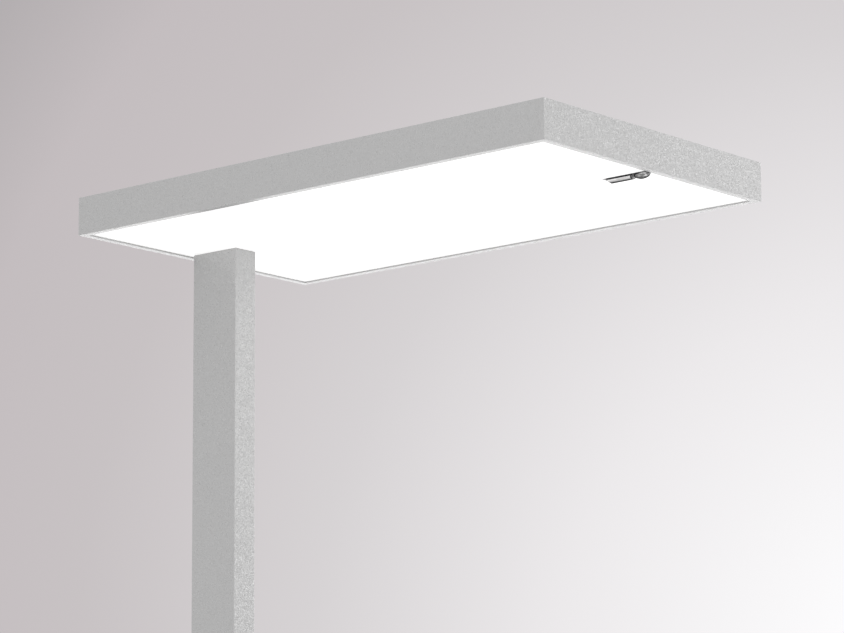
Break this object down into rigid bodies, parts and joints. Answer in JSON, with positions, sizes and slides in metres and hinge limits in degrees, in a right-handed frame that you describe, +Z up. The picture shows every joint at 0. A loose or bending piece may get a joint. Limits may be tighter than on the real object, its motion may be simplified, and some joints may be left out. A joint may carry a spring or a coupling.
{
  "type": "floor lamp",
  "caption": "Office floor lamp: a flat rectangular light head on a slim rectangular mast and a base plate, with a tilting sensor and push buttons.",
  "frame": {"origin": "on the floor, on the mast's axis", "axes": "+Z up, +X the way the head reaches out from the mast, +Y to the head's left"},
  "size_m": [0.618, 0.337, 1.95],
  "materials": {
    "silver_coat": "satin",
    "base_coat": "satin",
    "bare_aluminium": "satin",
    "zinc_steel": "satin",
    "opal_sheet": "matte",
    "frosted_sheet": "matte",
    "white_tray": "matte",
    "light_board": "satin",
    "circuit_board": "satin",
    "driver_case": "satin",
    "white_plastic": "satin",
    "grey_plastic": "satin",
    "button_plastic": "satin",
    "black_plastic": "satin",
    "black_cable": "matte",
    "pin_brass": "satin",
    "mat_rubber": "matte",
    "sensor_chrome": "polished",
    "knuckle_chrome": "polished",
    "dark_metal": "satin",
    "lens_plastic": "gloss"
  },
  "bodies": {
    "lamp": {"floor_mat": "mat_rubber", "base_plate": "base_coat", "mast_foot_block": "bare_aluminium", "foot_screws": "zinc_steel", "foot_grub_screws": "zinc_steel", "mast_tube": "silver_coat", "inlet_housing": "black_plastic", "inlet_pins": "pin_brass", "control_panel": "grey_plastic", "control_board": "circuit_board", "switch_bodies": "black_plastic", "driver_strip": "zinc_steel", "strip_screws": "zinc_steel", "led_driver": "driver_case", "terminal_block": "white_plastic", "mains_cable": "black_cable", "control_cable": "white_plastic", "head_cable": "white_plastic", "head_bracket": "bare_aluminium", "spigot_screws": "zinc_steel", "left_spine": "bare_aluminium", "right_spine": "bare_aluminium", "lap_screws": "zinc_steel", "tray_screws": "zinc_steel", "front_rail": "silver_coat", "rear_rail": "silver_coat", "left_rail": "silver_coat", "right_rail": "silver_coat", "corner_keys": "bare_aluminium", "corner_key_screws": "zinc_steel", "diffuser": "opal_sheet", "light_tray": "white_tray", "downlight_boards": "light_board", "uplight_boards": "light_board", "top_cover": "silver_coat", "uplight_window": "frosted_sheet", "cover_screws": "zinc_steel", "sensor_trough": "white_plastic", "sensor_knuckle": "knuckle_chrome", "sensor_pivot_pin": "zinc_steel", "sensor_screw": "zinc_steel", "sensor_board": "circuit_board"},
    "sensor": {"sensor_tube": "sensor_chrome", "sensor_lens": "lens_plastic", "sensor_tongue": "dark_metal"},
    "up_button": {"up_button": "button_plastic", "up_plunger": "black_plastic"},
    "down_button": {"down_button": "button_plastic", "down_plunger": "black_plastic"}
  },
  "joints": [
    {"name": "sensor_tilt", "type": "hinge", "parent": "lamp", "child": "sensor", "pos_m": [0.54025, 0, 1.911], "axis": [0, -1, 0], "range_deg": [0, 90]},
    {"name": "up_button_press", "type": "slide", "parent": "lamp", "child": "up_button", "axis": [-1, 0, 0], "range_m": [0, 0.0008], "stiffness_N_per_m": 1500, "springref_m": -0.0005},
    {"name": "down_button_press", "type": "slide", "parent": "lamp", "child": "down_button", "axis": [-1, 0, 0], "range_m": [0, 0.0008], "stiffness_N_per_m": 1500, "springref_m": -0.0005}
  ]
}
